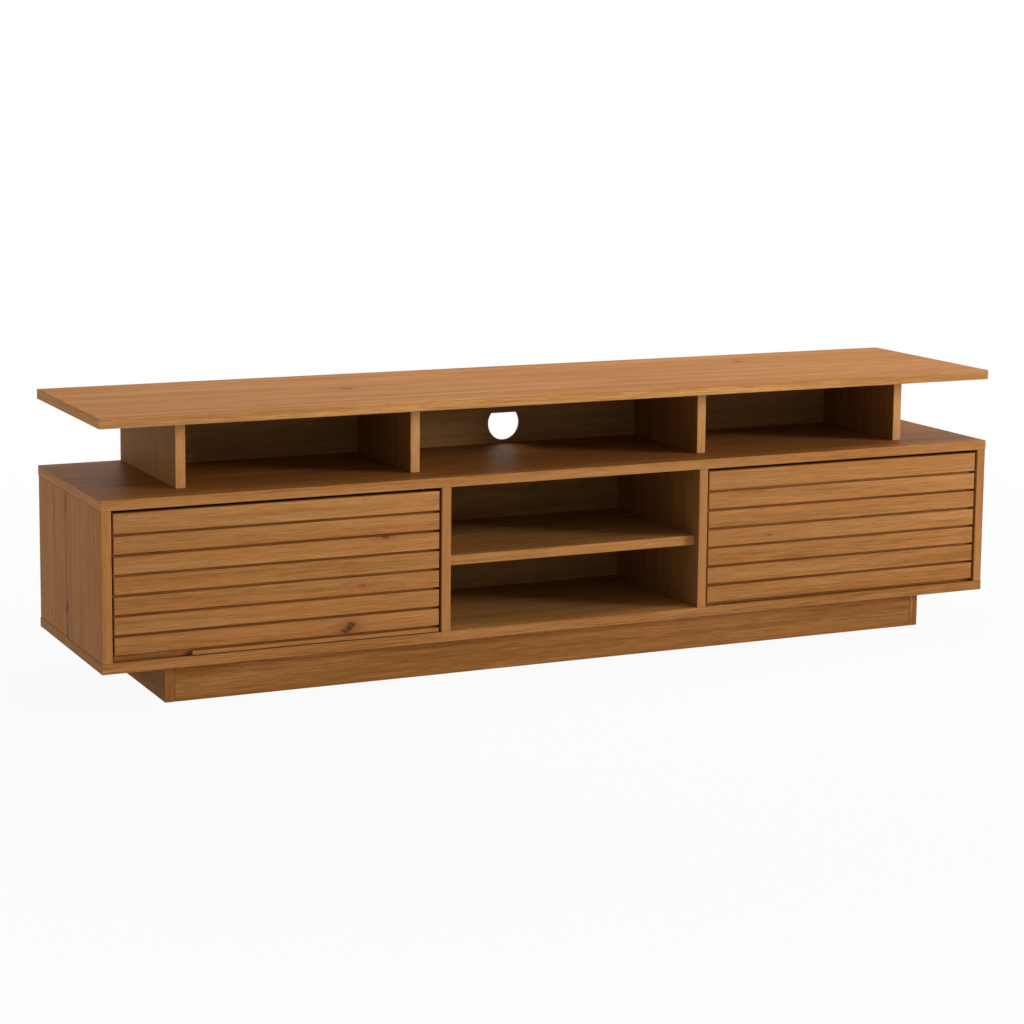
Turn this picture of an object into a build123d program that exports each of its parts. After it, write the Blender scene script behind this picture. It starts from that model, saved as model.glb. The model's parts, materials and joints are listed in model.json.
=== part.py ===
from build123d import *
import os

# A low television stand: a thin top board on four uprights, over a carcass with two
# slatted doors beside an open centre niche, on a plinth set in from the carcass.
# Millimetres. x runs along the width, the front faces -y, and the stand rests on z = 0.

# Boards
width = 1800.0
depth = 400.0
board = 18.0
edge_break = 0.8

# Heights
plinth_height = 70.0
carcass_height = 300.0
upper_niche_height = 122.0
lower_niche_height = 118.0

# Plinth
plinth_side_inset = 123.0
plinth_front_inset = 40.0
plinth_rear_inset = 40.0

# Upper section
end_upright_inset = 155.0
upright_front_inset = 70.0
upper_centre_width = 572.0

# Carcass divisions
side_panel_inset = 1.0
centre_niche_width = 508.0
shelf_front_inset = 15.0
shelf_clearance = 0.4

# Thin backs, held in grooves
back_thickness = 4.0
back_inset = 70.0
back_groove_depth = 6.0
back_clearance = 0.2

# Cable opening: a round hole with a flat top, and a notch in the board behind it
cable_radius = 33.0
cable_above_floor = 6.0
cable_flat_height = 20.0
cable_notch_width = 120.0
cable_notch_land = 8.0
cable_notch_corner = 12.0

# Doors: a panel faced with slats
door_side_gap = 4.0
door_top_gap = 6.0
door_bottom_gap = 1.5
door_recess = 2.0
door_panel = 10.0
slat_thickness = 8.0
slat_count = 7
slat_groove = 4.5
slat_chamfer = 1.0
pull_rail_height = 7.5
pull_length = 138.0
plain_door_foot = 5.0

# Door pivots
pivot_inset = 30.0
pin_radius = 3.0
pin_grip = 20.0
pin_engagement = 8.0
pin_clearance = 0.05
bush_radius = 6.0
bush_depth = 10.0
bush_flange_radius = 9.0
thrust_clearance = 0.2

# Magnetic door catches
catch_thickness = 14.0
catch_length = 34.0
catch_height = 46.0
catch_below_ceiling = 20.0
catch_gap = 0.3
catch_round = 2.0
magnet_height = 34.0
magnet_thickness = 8.0
magnet_depth = 12.0
strike_width = 14.0
strike_height = 40.0
strike_thickness = 1.5
strike_spike_radius = 1.5
strike_spike = 7.0

# Fasteners
fit_clearance = 0.05
fitting_inset = 60.0
row_stagger = 16.0
dowel_spacing = 32.0
dowel_radius = 4.0
dowel_in_face = 11.0
dowel_in_end = 19.0
cam_radius = 7.5
cam_bite = 3.5
cam_reach = 24.0
cam_slot = 1.6
cam_slot_depth = 2.0
bolt_radius = 3.5
bolt_in_face = 11.0
bolt_past_cam = 3.0
confirmat_radius = 3.2
confirmat_in_end = 32.0
confirmat_head_radius = 5.0
confirmat_head = 3.5
hex_radius = 2.3
hex_depth = 2.5
bracket_leg = 30.0
bracket_width = 16.0
bracket_thickness = 2.0
bracket_hole_at = 20.0
screw_radius = 1.9
screw_bite = 12.0
screw_head_radius = 3.8
screw_head = 1.8
screw_slot = 0.9
screw_slot_depth = 0.8
peg_radius = 2.5
peg_in_board = 9.0
peg_reach = 9.0
peg_width = 10.0
peg_height = 7.0
peg_inset = 45.0

# Planes that the boards share
half_width = width / 2
front = -depth / 2
rear = depth / 2
carcass_floor = plinth_height + board
carcass_top = plinth_height + carcass_height
carcass_ceiling = carcass_top - board
top_underside = carcass_top + upper_niche_height
back_rear_face = rear - back_inset
back_front_face = back_rear_face - back_thickness

# Inner and outer faces of the upright boards, on the right-hand side
side_outer = half_width - side_panel_inset
side_inner = side_outer - board
partition_inner = centre_niche_width / 2
partition_outer = partition_inner + board
end_upright_outer = half_width - end_upright_inset
end_upright_inner = end_upright_outer - board
middle_upright_inner = upper_centre_width / 2
middle_upright_outer = middle_upright_inner + board
plinth_outer = half_width - plinth_side_inset
plinth_inner = plinth_outer - board
plinth_front = front + plinth_front_inset
plinth_rear = rear - plinth_rear_inset

# Planes of the doors
door_front = front + door_recess
door_panel_front = door_front + slat_thickness
door_rear = door_panel_front + door_panel
door_bottom = carcass_floor + door_bottom_gap
door_top = carcass_ceiling - door_top_gap
pivot_y = door_panel_front + door_panel / 2

# Every node's solids, and what is cut out of each node
solids = {}
cutters = {}


def add(node, solid):
    solids.setdefault(node, []).append(solid)


def cut(node, cutter):
    cutters.setdefault(node, []).append(cutter)


# A box between two corners, from one span for each axis
def block(x_span, y_span, z_span):
    lengths = [span[1] - span[0] for span in (x_span, y_span, z_span)]
    centre = [(span[0] + span[1]) / 2 for span in (x_span, y_span, z_span)]
    return Pos(*centre) * Box(*lengths)


# A board has all its edges broken
def add_board(node, x_span, y_span, z_span):
    plain = block(x_span, y_span, z_span)
    add(node, chamfer(plain.edges(), edge_break))


# A round rod from one point along a direction
def rod(start, direction, radius, length):
    along = Align.CENTER, Align.CENTER, Align.MIN
    return Plane(origin=start, z_dir=direction) * Cylinder(radius, length, align=along)


# The span of a piece on one side of the stand: side is -1 on the left and 1 on the right
def mirrored(side, inner, outer):
    return tuple(sorted((side * inner, side * outer)))


# A dowel across a joint plane; towards points from the joint into the drilled face
def add_dowel(joint, towards, face_node, end_node):
    towards = Vector(*towards)
    start = Vector(*joint) - towards * dowel_in_end
    length = dowel_in_end + dowel_in_face
    add("wood_dowels", rod(start, towards, dowel_radius, length))
    hole = rod(start, towards, dowel_radius + fit_clearance, length)
    cut(face_node, hole)
    cut(end_node, hole)


# A cam fitting: the bolt stands in the face board and the cam in the upright grips it
def add_cam_fitting(x_face, x_middle, y, z_joint, up, opens, face_node, end_node):
    bolt_length = bolt_in_face + cam_reach + bolt_past_cam
    bolt_start = (x_middle, y, z_joint + up * bolt_in_face)
    bolt_way = (0, 0, -up)
    add("cam_bolts", rod(bolt_start, bolt_way, bolt_radius, bolt_length))
    bolt_hole = rod(bolt_start, bolt_way, bolt_radius + fit_clearance, bolt_length + fit_clearance)
    cut(face_node, bolt_hole)
    cut(end_node, bolt_hole)
    cam_depth = board / 2 + cam_bite
    z_cam = z_joint - up * cam_reach
    cam = rod((x_face, y, z_cam), (-opens, 0, 0), cam_radius, cam_depth)
    slot_span = mirrored(1, x_face - opens * cam_slot_depth, x_face + opens * cam_slot_depth)
    long_half = cam_radius / 2
    thin_half = cam_slot / 2
    for half_y, half_z in ((long_half, thin_half), (thin_half, long_half)):
        cam -= block(slot_span, (y - half_y, y + half_y), (z_cam - half_z, z_cam + half_z))
    add("cam_locks", cam - bolt_hole)
    cut(end_node, rod((x_face, y, z_cam), (-opens, 0, 0), cam_radius + fit_clearance, cam_depth))


# A long countersunk screw through a face into the end of an upright
def add_confirmat(head_at, direction, face_node, end_node):
    length = board + confirmat_in_end
    base = Plane(origin=head_at, z_dir=direction)
    along = Align.CENTER, Align.CENTER, Align.MIN
    shank = base * Cylinder(confirmat_radius, length, align=along)
    head = base * Cone(confirmat_head_radius, confirmat_radius, confirmat_head, align=along)
    socket = base * extrude(RegularPolygon(hex_radius, 6), hex_depth)
    add("upright_screws", shank + head - socket)
    loose = confirmat_radius + fit_clearance
    shank_hole = base * Cylinder(loose, length + fit_clearance, align=along)
    head_hole = base * Cone(confirmat_head_radius + fit_clearance, loose, confirmat_head, align=along)
    cut(face_node, shank_hole + head_hole)
    cut(end_node, shank_hole)


# A short slotted screw with its head on the given point
def add_short_screw(node, head_at, direction, into_node):
    base = Plane(origin=head_at, z_dir=direction)
    along = Align.CENTER, Align.CENTER, Align.MIN
    shank = base * Cylinder(screw_radius, screw_bite, align=along)
    head_base = Plane(origin=head_at, z_dir=Vector(*direction) * -1)
    head = head_base * Cylinder(screw_head_radius, screw_head, align=along)
    slot = Pos(0, 0, screw_head) * Box(2 * screw_head_radius, screw_slot, 2 * screw_slot_depth)
    add(node, shank + head - head_base * slot)
    cut(into_node, base * Cylinder(screw_radius + fit_clearance, screw_bite + fit_clearance, align=along))


# An angle bracket in the corner under a board; out points away from the upright face
def add_bracket(corner, out, top_node, upright_node):
    base = Plane(origin=corner, x_dir=out, z_dir=(0, 0, 1))
    half = bracket_width / 2
    flat_leg = block((0, bracket_leg), (-half, half), (-bracket_thickness, 0))
    upright_leg = block((0, bracket_thickness), (-half, half), (-bracket_leg, 0))
    hole_radius = screw_radius + fit_clearance
    flat_hole = rod((bracket_hole_at, 0, -bracket_thickness), (0, 0, 1), hole_radius, bracket_thickness)
    upright_hole = rod((0, 0, -bracket_hole_at), (1, 0, 0), hole_radius, bracket_thickness)
    add("angle_brackets", base * (flat_leg + upright_leg - flat_hole - upright_hole))
    flat_head = base.from_local_coords(Vector(bracket_hole_at, 0, -bracket_thickness))
    upright_head = base.from_local_coords(Vector(bracket_thickness, 0, -bracket_hole_at))
    add_short_screw("bracket_screws", flat_head, (0, 0, 1), top_node)
    add_short_screw("bracket_screws", upright_head, Vector(*out) * -1, upright_node)


# Horizontal boards
full_x = (-half_width, half_width)
full_y = (front, rear)
add_board("top_board", full_x, full_y, (top_underside, top_underside + board))
add_board("carcass_top_board", full_x, full_y, (carcass_ceiling, carcass_top))
add_board("carcass_bottom_board", full_x, full_y, (plinth_height, carcass_floor))

# Upright boards of the carcass; opens says which way the cam fittings face
carcass_z = (carcass_floor, carcass_ceiling)
carcass_uprights = (
    ("left_side_panel", mirrored(-1, side_inner, side_outer), 1),
    ("left_partition", mirrored(-1, partition_inner, partition_outer), -1),
    ("right_partition", mirrored(1, partition_inner, partition_outer), 1),
    ("right_side_panel", mirrored(1, side_inner, side_outer), -1),
)
fitting_rows = (front + fitting_inset, back_front_face - fitting_inset)
dowel_rows = (fitting_rows[0] + dowel_spacing, fitting_rows[1] - dowel_spacing)
for node, x_span, opens in carcass_uprights:
    add_board(node, x_span, full_y, carcass_z)
    x_middle = sum(x_span) / 2
    x_face = x_middle + opens * board / 2
    for z_joint, up, face_node in (
        (carcass_ceiling, 1, "carcass_top_board"),
        (carcass_floor, -1, "carcass_bottom_board"),
    ):
        for y in fitting_rows:
            add_cam_fitting(x_face, x_middle, y, z_joint, up, opens, face_node, node)
        for y in dowel_rows:
            add_dowel((x_middle, y, z_joint), (0, 0, up), face_node, node)

# Uprights of the upper section, screwed from below and bracketed behind their backs.
# Their rear screws stand behind the row of cam bolts in the same board.
upright_y = (front + upright_front_inset, rear)
upper_z = (carcass_top, top_underside)
upper_uprights = (
    ("left_end_upright", mirrored(-1, end_upright_inner, end_upright_outer), 1),
    ("left_middle_upright", mirrored(-1, middle_upright_inner, middle_upright_outer), 1),
    ("right_middle_upright", mirrored(1, middle_upright_inner, middle_upright_outer), -1),
    ("right_end_upright", mirrored(1, end_upright_inner, end_upright_outer), -1),
)
upright_rows = (upright_y[0] + fitting_inset, fitting_rows[1] + row_stagger)
bracket_y = (back_rear_face + rear) / 2
for node, x_span, inward in upper_uprights:
    add_board(node, x_span, upright_y, upper_z)
    x_middle = sum(x_span) / 2
    x_face = x_middle + inward * board / 2
    for y in upright_rows:
        add_confirmat((x_middle, y, carcass_ceiling), (0, 0, 1), "carcass_top_board", node)
        add_dowel((x_middle, y, top_underside), (0, 0, 1), "top_board", node)
    add_bracket((x_face, bracket_y, top_underside), (inward, 0, 0), "top_board", node)


# A thin back slides in grooves in the two boards beside it
def add_back(node, x_span, z_span, left_node, right_node):
    reach = back_groove_depth - back_clearance
    back_x = (x_span[0] - reach, x_span[1] + reach)
    back_z = (z_span[0], z_span[1] - back_clearance)
    back_y = (back_front_face, back_rear_face)
    add(node, block(back_x, back_y, back_z))
    groove_x = (x_span[0] - back_groove_depth, x_span[1] + back_groove_depth)
    groove_y = (back_front_face - back_clearance, back_rear_face + back_clearance)
    groove = block(groove_x, groove_y, z_span)
    cut(left_node, groove)
    cut(right_node, groove)


lower_left = (-side_inner, -partition_outer)
lower_centre = (-partition_inner, partition_inner)
lower_right = (partition_outer, side_inner)
upper_left = (-end_upright_inner, -middle_upright_outer)
upper_centre = (-middle_upright_inner, middle_upright_inner)
upper_right = (middle_upright_outer, end_upright_inner)
add_back("lower_left_back", lower_left, carcass_z, "left_side_panel", "left_partition")
add_back("lower_centre_back", lower_centre, carcass_z, "left_partition", "right_partition")
add_back("lower_right_back", lower_right, carcass_z, "right_partition", "right_side_panel")
add_back("upper_left_back", upper_left, upper_z, "left_end_upright", "left_middle_upright")
add_back("upper_centre_back", upper_centre, upper_z, "left_middle_upright", "right_middle_upright")
add_back("upper_right_back", upper_right, upper_z, "right_middle_upright", "right_end_upright")

# The cable opening keeps the part of the circle under its flat top
cable_z = carcass_top + cable_above_floor + cable_radius
cable_round = rod((0, back_front_face, cable_z), (0, 1, 0), cable_radius, back_thickness)
cable_below = block(
    (-cable_radius, cable_radius),
    (back_front_face, back_rear_face),
    (cable_z - cable_radius, cable_z + cable_flat_height),
)
cut("upper_centre_back", cable_round & cable_below)

# Behind the opening, cables drop through a notch in the rear edge of the carcass top
notch_half = cable_notch_width / 2
notch_y = (back_rear_face + cable_notch_land, rear + board)
notch = block((-notch_half, notch_half), notch_y, (carcass_ceiling - board, carcass_top + board))
notch_corners = notch.edges().filter_by(Axis.Z).group_by(Axis.Y)[0]
cut("carcass_top_board", fillet(notch_corners, cable_notch_corner))

# Centre shelf, lying on four pegs in the partitions
shelf_underside = carcass_floor + lower_niche_height
shelf_half = partition_inner - shelf_clearance
shelf_y = (front + shelf_front_inset, back_front_face - shelf_clearance)
add_board("centre_shelf", (-shelf_half, shelf_half), shelf_y, (shelf_underside, shelf_underside + board))
for side, node in ((-1, "left_partition"), (1, "right_partition")):
    for y in (shelf_y[0] + peg_inset, shelf_y[1] - peg_inset):
        peg_start = (side * (partition_inner + peg_in_board), y, shelf_underside - peg_height / 2)
        inward = (-side, 0, 0)
        shank = rod(peg_start, inward, peg_radius, peg_in_board)
        rest = block(
            mirrored(side, partition_inner - peg_reach, partition_inner),
            (y - peg_width / 2, y + peg_width / 2),
            (shelf_underside - peg_height, shelf_underside),
        )
        add("shelf_pegs", shank + rest)
        cut(node, rod(peg_start, inward, peg_radius + fit_clearance, peg_in_board))

# Plinth: the side boards run past the front and back boards, with a brace under each partition
plinth_y = (plinth_front, plinth_rear)
plinth_z = (0, plinth_height)
front_board_y = (plinth_front, plinth_front + board)
back_board_y = (plinth_rear - board, plinth_rear)
between_x = (-plinth_inner, plinth_inner)
add_board("plinth_front_board", between_x, front_board_y, plinth_z)
add_board("plinth_back_board", between_x, back_board_y, plinth_z)
plinth_dowel_z = plinth_height / 2
for side, node, brace_node in (
    (-1, "plinth_left_board", "plinth_left_brace"),
    (1, "plinth_right_board", "plinth_right_brace"),
):
    add_board(node, mirrored(side, plinth_inner, plinth_outer), plinth_y, plinth_z)
    brace_x = mirrored(side, partition_inner, partition_outer)
    add_board(brace_node, brace_x, (front_board_y[1], back_board_y[0]), plinth_z)
    for long_node, y_span, joint_y, way in (
        ("plinth_front_board", front_board_y, front_board_y[1], -1),
        ("plinth_back_board", back_board_y, back_board_y[0], 1),
    ):
        corner = (side * plinth_inner, sum(y_span) / 2, plinth_dowel_z)
        add_dowel(corner, (side, 0, 0), node, long_node)
        brace_joint = (sum(brace_x) / 2, joint_y, plinth_dowel_z)
        add_dowel(brace_joint, (0, way, 0), long_node, brace_node)
        bracket_x = side * (partition_outer + plinth_inner) / 2
        add_bracket((bracket_x, joint_y, plinth_height), (0, -way, 0), "carcass_bottom_board", long_node)

# One flanged bush, with its flange at start and its stem along direction
bush_flange = door_bottom_gap - thrust_clearance


def add_bush(start, direction, board_node):
    flange_start = Vector(*start) - Vector(*direction) * bush_flange
    whole = rod(start, direction, bush_radius, bush_depth)
    whole += rod(flange_start, direction, bush_flange_radius, bush_flange)
    bore = rod(flange_start, direction, pin_radius + pin_clearance, bush_flange + bush_depth)
    add("pivot_bushes", whole - bore)
    cut(board_node, rod(start, direction, bush_radius + fit_clearance, bush_depth))


# A slat, or the pull rail, with its front edges chamfered
def add_slat(node, x_span, z_span):
    strip = block(x_span, (door_front, door_panel_front), z_span)
    front_edges = strip.faces().sort_by(Axis.Y)[0].edges()
    add(node, chamfer(front_edges, slat_chamfer))


# A door on two pivot pins beside the partition, held shut at the side panel.
# The slats hang from the top at an even pitch, so the top slat is one groove taller.
def add_door(name, side, slat_zone_bottom):
    hinge_end = side * (partition_outer + door_side_gap)
    free_end = side * (side_inner - door_side_gap)
    door_x = tuple(sorted((hinge_end, free_end)))
    panel_node = name + "_panel"
    add(panel_node, block(door_x, (door_panel_front, door_rear), (door_bottom, door_top)))

    pitch = (door_top - slat_zone_bottom) / slat_count
    for row in range(1, slat_count + 1):
        slat_bottom = door_top - row * pitch
        gap_above = slat_groove if row > 1 else 0
        slat_top = slat_bottom + pitch - gap_above
        add_slat(f"{name}_slat_{row}", door_x, (slat_bottom, slat_top))

    pivot_x = hinge_end + side * pivot_inset
    for edge_z, up, gap, plane_z, board_node in (
        (door_top, 1, door_top_gap, carcass_ceiling, "carcass_top_board"),
        (door_bottom, -1, door_bottom_gap, carcass_floor, "carcass_bottom_board"),
    ):
        pin_start = (pivot_x, pivot_y, edge_z - up * pin_grip)
        way = (0, 0, up)
        add(name + "_pivot_pins", rod(pin_start, way, pin_radius, pin_grip + gap + pin_engagement))
        cut(panel_node, rod(pin_start, way, pin_radius + fit_clearance, pin_grip))
        add_bush((pivot_x, pivot_y, plane_z), way, board_node)

    # Catch on the side panel, and its strike on the back of the door
    wall = side * side_inner
    catch_front = door_rear + strike_thickness + catch_gap
    catch_z = carcass_ceiling - catch_below_ceiling - catch_height / 2
    case = block(
        mirrored(side, side_inner - catch_thickness, side_inner),
        (catch_front, catch_front + catch_length),
        (catch_z - catch_height / 2, catch_z + catch_height / 2),
    )
    free_face = case.faces().sort_by(Axis.X)[0 if side > 0 else -1]
    case = chamfer(free_face.edges(), catch_round)
    magnet_x = wall - side * catch_thickness / 2
    magnet = block(
        (magnet_x - magnet_thickness / 2, magnet_x + magnet_thickness / 2),
        (catch_front, catch_front + magnet_depth),
        (catch_z - magnet_height / 2, catch_z + magnet_height / 2),
    )
    add(name + "_catch", case - magnet)
    add("catch_magnets", magnet)
    screw_y = catch_front + (magnet_depth + catch_length) / 2
    for offset in (-catch_height / 4, catch_height / 4):
        head_x = wall - side * catch_thickness / 2
        deep = (head_x, screw_y, catch_z + offset)
        add_catch_screw(deep, side, name)
    strike = block(
        (magnet_x - strike_width / 2, magnet_x + strike_width / 2),
        (door_rear, door_rear + strike_thickness),
        (catch_z - strike_height / 2, catch_z + strike_height / 2),
    )
    spike_start = (magnet_x, door_rear, catch_z)
    spike = rod(spike_start, (0, -1, 0), strike_spike_radius, strike_spike)
    add(name + "_strike", strike + spike)
    cut(panel_node, rod(spike_start, (0, -1, 0), strike_spike_radius + fit_clearance, strike_spike))


# A screw sunk in the catch case, biting into the side panel
def add_catch_screw(head_at, side, name):
    way = (side, 0, 0)
    panel_node = name.split("_")[0] + "_side_panel"
    case_node = name + "_catch"
    add_short_screw("catch_screws", head_at, way, panel_node)
    shank_hole = rod(head_at, way, screw_radius + fit_clearance, catch_thickness)
    head_hole = rod(head_at, (-side, 0, 0), screw_head_radius + fit_clearance, catch_thickness)
    cut(case_node, shank_hole + head_hole)


pull_rail_top = door_bottom + pull_rail_height
add_door("left_door", -1, pull_rail_top + slat_groove)
add_door("right_door", 1, door_bottom + plain_door_foot)

# The left door's bottom rail stops short of the free end and leaves a finger pull there
left_free_end = -(side_inner - door_side_gap)
left_hinge_end = -(partition_outer + door_side_gap)
add_slat("left_door_pull_rail", (left_free_end + pull_length, left_hinge_end), (door_bottom, pull_rail_top))

# One file for each node
os.makedirs("parts", exist_ok=True)
for node, pieces in solids.items():
    finished = pieces
    if node in cutters:
        finished = [piece - cutters[node] for piece in pieces]
    bodies = [body for piece in finished for body in piece.solids()]
    shape = bodies[0] if len(bodies) == 1 else Compound(children=bodies)
    export_step(shape, f"parts/{node}.step")
print(f"{len(solids)} nodes written")
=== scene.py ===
import json
import math
import bpy
from mathutils import Matrix, Vector


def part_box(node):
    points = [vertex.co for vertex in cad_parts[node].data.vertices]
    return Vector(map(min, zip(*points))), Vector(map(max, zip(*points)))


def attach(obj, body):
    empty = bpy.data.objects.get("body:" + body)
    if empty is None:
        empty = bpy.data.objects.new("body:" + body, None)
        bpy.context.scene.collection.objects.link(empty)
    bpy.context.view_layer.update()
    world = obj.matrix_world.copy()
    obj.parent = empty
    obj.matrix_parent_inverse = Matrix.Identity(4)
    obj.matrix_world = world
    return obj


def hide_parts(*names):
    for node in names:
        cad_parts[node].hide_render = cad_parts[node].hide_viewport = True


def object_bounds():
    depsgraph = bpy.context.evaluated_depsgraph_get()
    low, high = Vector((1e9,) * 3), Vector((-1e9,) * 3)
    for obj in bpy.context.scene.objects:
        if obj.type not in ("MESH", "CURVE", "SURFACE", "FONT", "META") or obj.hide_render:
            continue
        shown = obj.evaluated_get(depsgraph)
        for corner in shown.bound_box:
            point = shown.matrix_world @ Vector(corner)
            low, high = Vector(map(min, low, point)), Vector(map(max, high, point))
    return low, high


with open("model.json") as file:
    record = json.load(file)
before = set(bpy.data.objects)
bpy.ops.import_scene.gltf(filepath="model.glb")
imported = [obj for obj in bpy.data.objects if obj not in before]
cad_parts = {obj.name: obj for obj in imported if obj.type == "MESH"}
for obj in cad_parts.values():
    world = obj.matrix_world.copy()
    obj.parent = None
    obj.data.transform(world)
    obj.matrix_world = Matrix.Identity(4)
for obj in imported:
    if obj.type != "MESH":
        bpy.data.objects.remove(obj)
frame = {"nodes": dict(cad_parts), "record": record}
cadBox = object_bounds()
print("frame loaded with", len(frame["nodes"]), "nodes")


# Small helpers for building shader trees
def feed(tree, target, value):
    if isinstance(value, bpy.types.NodeSocket):
        tree.links.new(value, target)
    else:
        target.default_value = value


def opaque(colour):
    return (*colour, 1.0)


def calc(tree, operation, *values):
    made = tree.nodes.new("ShaderNodeMath")
    made.operation = operation
    for target, value in zip(made.inputs, values):
        feed(tree, target, value)
    return made.outputs["Value"]


def vectorCalc(tree, operation, *values):
    made = tree.nodes.new("ShaderNodeVectorMath")
    made.operation = operation
    for target, value in zip(made.inputs, values):
        feed(tree, target, value)
    single = operation in ("LENGTH", "DOT_PRODUCT")
    return made.outputs["Value" if single else "Vector"]


def scaled(tree, vector, factor):
    made = tree.nodes.new("ShaderNodeVectorMath")
    made.operation = "SCALE"
    feed(tree, made.inputs["Vector"], vector)
    feed(tree, made.inputs["Scale"], factor)
    return made.outputs["Vector"]


def noise(tree, vector, detail=2.0, rough=0.5):
    made = tree.nodes.new("ShaderNodeTexNoise")
    made.inputs["Scale"].default_value = 1.0
    made.inputs["Detail"].default_value = detail
    made.inputs["Roughness"].default_value = rough
    feed(tree, made.inputs["Vector"], vector)
    return made.outputs


def speckle(tree, spot, layer):
    return noise(tree, scaled(tree, spot, layer["scale"]), layer["detail"], layer["rough"])["Fac"]


def remap(tree, value, fromLow, fromHigh, toLow=0.0, toHigh=1.0, curve="SMOOTHSTEP"):
    made = tree.nodes.new("ShaderNodeMapRange")
    made.interpolation_type = curve
    for target, given in zip(made.inputs, (value, fromLow, fromHigh, toLow, toHigh)):
        feed(tree, target, given)
    return made.outputs["Result"]


def mixed(tree, kind, how, factor, first, second):
    made = tree.nodes.new("ShaderNodeMix")
    made.data_type = kind
    made.blend_type = how
    feed(tree, made.inputs["Factor"], factor)
    feed(tree, made.inputs["A"], first)
    feed(tree, made.inputs["B"], second)
    return made.outputs["Result"]


def mixColour(tree, factor, first, second, how="MIX"):
    return mixed(tree, "RGBA", how, factor, first, second)


def mixVector(tree, factor, first, second):
    return mixed(tree, "VECTOR", "MIX", factor, first, second)


def ramp(tree, value, stops):
    made = tree.nodes.new("ShaderNodeValToRGB")
    made.color_ramp.interpolation = "B_SPLINE"
    while len(made.color_ramp.elements) < len(stops):
        made.color_ramp.elements.new(0.5)
    for element, (position, colour) in zip(made.color_ramp.elements, stops):
        element.position = position
        element.color = opaque(colour)
    feed(tree, made.inputs["Fac"], value)
    return made.outputs["Color"]


def bump(tree, height, strength, distance):
    made = tree.nodes.new("ShaderNodeBump")
    made.inputs["Strength"].default_value = strength
    made.inputs["Distance"].default_value = distance
    feed(tree, made.inputs["Height"], height)
    return made.outputs["Normal"]


def turned(tree, vector, turn, shift):
    made = tree.nodes.new("ShaderNodeMapping")
    made.inputs["Rotation"].default_value = turn
    made.inputs["Location"].default_value = shift
    feed(tree, made.inputs["Vector"], vector)
    return made.outputs["Vector"]


def newFinish(name):
    finish = bpy.data.materials.new(name)
    finish.use_nodes = True
    tree = finish.node_tree
    return finish, tree, tree.nodes["Principled BSDF"]


def place(tree):
    return tree.nodes.new("ShaderNodeTexCoord").outputs["Object"]


def faceWay(tree):
    made = tree.nodes.new("ShaderNodeVectorTransform")
    made.vector_type = "NORMAL"
    made.convert_from = "WORLD"
    made.convert_to = "OBJECT"
    geometry = tree.nodes.new("ShaderNodeNewGeometry")
    tree.links.new(geometry.outputs["True Normal"], made.inputs["Vector"])
    return made.outputs["Vector"]


noiseSpread = (0.3, 0.7)  # most of a noise lies between these

# Grain of the honey oak decor: x runs along the grain, y and z across it, in metres
oakGrain = {
    "drift": {"scale": (1.1, 8.0, 8.0), "by": 0.010},
    "layers": {
        "bands": {"scale": (0.8, 34.0, 34.0), "detail": 3.0, "share": 0.34},
        "streaks": {"scale": (3.0, 150.0, 150.0), "detail": 3.0, "rough": 0.6, "share": 0.46},
        "flecks": {"scale": (16.0, 420.0, 420.0), "detail": 2.0, "rough": 0.6, "share": 0.66},
        "fibres": {"scale": (30.0, 1300.0, 1300.0), "detail": 1.0, "share": 0.40},
        "rings": {"scale": (0.5, 8.0, 8.0), "detail": 1.0, "share": 0.12, "count": 7.0},
    },
    "pores": {"scale": (70.0, 1500.0, 1500.0), "detail": 1.0, "from": 0.60, "to": 0.74},
    "tint": {"scale": (1.6, 48.0, 48.0), "detail": 2.0, "from": 0.35, "to": 0.65},
}


def makeGrainGroup(grain):
    tree = bpy.data.node_groups.new("oakGrain", "ShaderNodeTree")
    tree.interface.new_socket("Place", in_out="INPUT", socket_type="NodeSocketVector")
    tree.interface.new_socket("Banding", in_out="INPUT", socket_type="NodeSocketFloat")
    for output in ("Tone", "Fibre", "Pore", "Tint"):
        tree.interface.new_socket(output, in_out="OUTPUT", socket_type="NodeSocketFloat")
    start = tree.nodes.new("NodeGroupInput").outputs
    end = tree.nodes.new("NodeGroupOutput").inputs

    drift = grain["drift"]
    wander = noise(tree, vectorCalc(tree, "MULTIPLY", start["Place"], drift["scale"]))["Color"]
    centred = vectorCalc(tree, "SUBTRACT", wander, (0.5, 0.5, 0.5))
    sideways = vectorCalc(tree, "MULTIPLY", centred, (0.0, drift["by"], drift["by"]))
    drifted = vectorCalc(tree, "ADD", start["Place"], sideways)

    def layerNoise(layer):
        stretched = vectorCalc(tree, "MULTIPLY", drifted, layer["scale"])
        return noise(tree, stretched, layer["detail"], layer.get("rough", 0.5))["Fac"]

    tone = 0.5
    for name, layer in grain["layers"].items():
        value = layerNoise(layer)
        if name == "fibres":
            feed(tree, end["Fibre"], value)
        if name == "rings":
            value = calc(tree, "PINGPONG", calc(tree, "MULTIPLY", value, 2 * layer["count"]), 1.0)
        lean = calc(tree, "MULTIPLY", calc(tree, "SUBTRACT", value, 0.5), layer["share"])
        if name == "bands":
            lean = calc(tree, "MULTIPLY", lean, start["Banding"])
        tone = calc(tree, "ADD", tone, lean)
    feed(tree, end["Tone"], tone)
    for output, layer in (("Pore", grain["pores"]), ("Tint", grain["tint"])):
        feed(tree, end[output], remap(tree, layerNoise(layer), layer["from"], layer["to"]))
    return tree


# A knot or a dark streak: the grain bends round it, and it darkens towards its middle
markLook = {
    "bendFade": 0.30,
    "haloFade": 0.16,
    "core": (0.15, 1.0),
    "ragged": {"scale": 1.7, "detail": 3.0, "rough": 0.7, "by": 1.6},
}


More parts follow.
